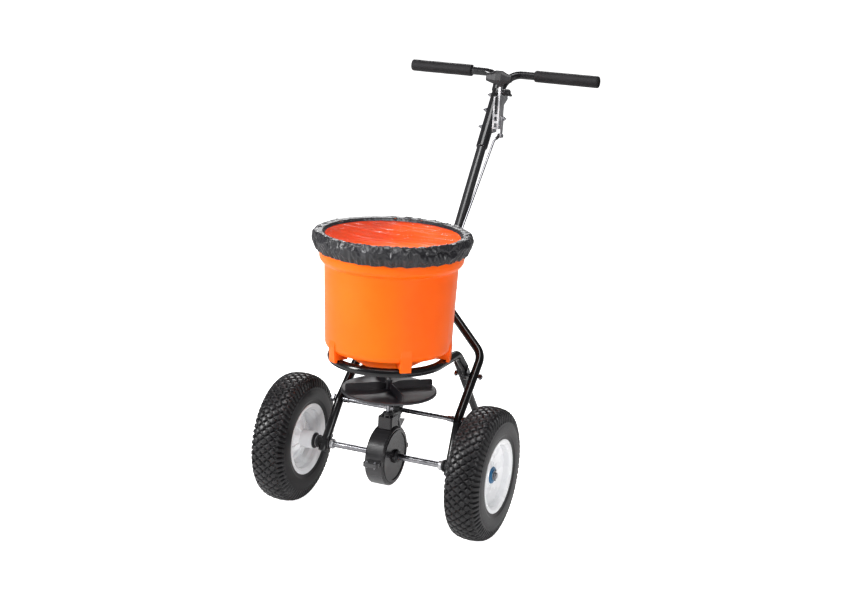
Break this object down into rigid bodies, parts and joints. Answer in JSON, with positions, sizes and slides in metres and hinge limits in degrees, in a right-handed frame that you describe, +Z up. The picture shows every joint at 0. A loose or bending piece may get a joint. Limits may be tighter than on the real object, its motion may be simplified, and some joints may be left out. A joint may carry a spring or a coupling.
{
  "type": "garden spreader",
  "caption": "Push-along broadcast spreader: round hopper with a gathered rain cover over a ground-driven impeller, on a bent tube frame with block-tread wheels and a T handle with a gate lever.",
  "frame": {"origin": "middle of the bounding box's base, on the ground", "axes": "+X along the wheel axle to the side that has the gate lever, +Y towards the push handle, +Z up"},
  "size_m": [0.6102, 0.889, 1.072],
  "materials": {
    "black_tube": "gloss black powder coat",
    "black_plastic": "satin moulded black",
    "blue_plastic": "satin moulded blue",
    "orange_plastic": "satin moulded orange",
    "cover_film": "coated nylon, satin, gathered",
    "clear_film": "clear soft film",
    "zinc_steel": "bright zinc plated",
    "white_paint": "white enamel",
    "gear_plastic": "natural moulded nylon",
    "tyre_rubber": "matt black",
    "valve_rubber": "matt black",
    "foam": "dark grey foam"
  },
  "bodies": {
    "frame": {"frame_leg_left": "black_tube", "frame_leg_right": "black_tube", "hopper_ring": "black_tube", "handle_column": "black_tube", "handle_stem": "black_tube", "handlebar_left": "black_tube", "handlebar_right": "black_tube", "stand_leg_left": "black_tube", "stand_leg_right": "black_tube", "stand_foot_left": "black_plastic", "stand_foot_right": "black_plastic", "tube_plugs": "black_plastic", "leg_bushes": "black_plastic", "gearbox_upper": "black_plastic", "gearbox_lower": "black_plastic", "gearbox_bushes": "black_plastic", "shaft_bush": "black_plastic", "hopper_bush": "black_plastic", "gate_guide": "black_plastic", "hopper": "orange_plastic", "cross_rod": "zinc_steel", "cross_rod_nuts": "zinc_steel", "frame_bolts": "zinc_steel", "stem_bolts": "zinc_steel", "gearbox_screws": "zinc_steel", "gate_screws": "zinc_steel", "gauge_bracket": "zinc_steel", "lever_pivot": "zinc_steel", "grip_left": "foam", "grip_right": "foam"},
    "drive_axle": {"axle": "zinc_steel", "axle_collars": "zinc_steel", "axle_pins": "zinc_steel", "axle_washers": "zinc_steel", "cotter_pins": "zinc_steel", "ring_gear": "gear_plastic", "rim_right": "white_paint", "tyre_right": "tyre_rubber", "hub_bushes_right": "blue_plastic", "valve_stems_right": "valve_rubber"},
    "left_wheel": {"rim_left": "white_paint", "tyre_left": "tyre_rubber", "hub_bushes_left": "black_plastic", "valve_stems_left": "valve_rubber"},
    "spreader_shaft": {"shaft": "zinc_steel", "shaft_pins": "zinc_steel", "pinion": "gear_plastic", "impeller": "black_plastic", "agitator": "zinc_steel"},
    "lever": {"lever": "zinc_steel", "lever_arm": "zinc_steel", "lever_grip": "black_plastic", "lock_bolt": "zinc_steel", "rod_pin": "zinc_steel"},
    "knob": {"lock_knob": "black_plastic"},
    "rod": {"control_rod": "zinc_steel", "rod_end": "black_plastic"},
    "gate": {"gate": "zinc_steel"},
    "rain_cover": {"rain_cover_band": "cover_film", "rain_cover_window": "clear_film"}
  },
  "joints": [
    {"name": "axle_spin", "type": "hinge", "parent": "frame", "child": "drive_axle", "pos_m": [0, -0.2405, 0.165], "axis": [1, 0, 0], "continuous": true},
    {"name": "left_wheel_spin", "type": "hinge", "parent": "drive_axle", "child": "left_wheel", "pos_m": [-0.25, -0.2405, 0.165], "axis": [1, 0, 0], "continuous": true},
    {"name": "shaft_spin", "type": "hinge", "parent": "frame", "child": "spreader_shaft", "pos_m": [0, -0.2405, 0.3], "axis": [0, 0, 1], "continuous": true},
    {"name": "lever_swing", "type": "hinge", "parent": "frame", "child": "lever", "pos_m": [0.0247, 0.3425, 0.945], "axis": [1, 0, 0], "range_deg": [-21.4, 12]},
    {"name": "rod_pivot", "type": "hinge", "parent": "lever", "child": "rod", "pos_m": [0.031, 0.3395, 0.899], "axis": [1, 0, 0], "range_deg": [-12.1, 21.5]},
    {"name": "gate_slide", "type": "slide", "parent": "frame", "child": "gate", "axis": [0, 1, 0], "range_m": [-0.0173, 0.0098]},
    {"name": "knob_turn", "type": "hinge", "parent": "lever", "child": "knob", "pos_m": [0.044, 0.3486, 1.01473], "axis": [1, 0, 0], "range_deg": [-180, 180]},
    {"name": "cover_lift", "type": "slide", "parent": "frame", "child": "rain_cover", "axis": [0, 0, 1], "range_m": [0, 0.25]}
  ],
  "couplings": [
    {"joint": "shaft_spin", "follows": "axle_spin", "ratio": 5},
    {"joint": "rod_pivot", "follows": "lever_swing", "ratio": -1},
    {"joint": "gate_slide", "follows": "lever_swing", "m_per_rad": 0.046}
  ]
}
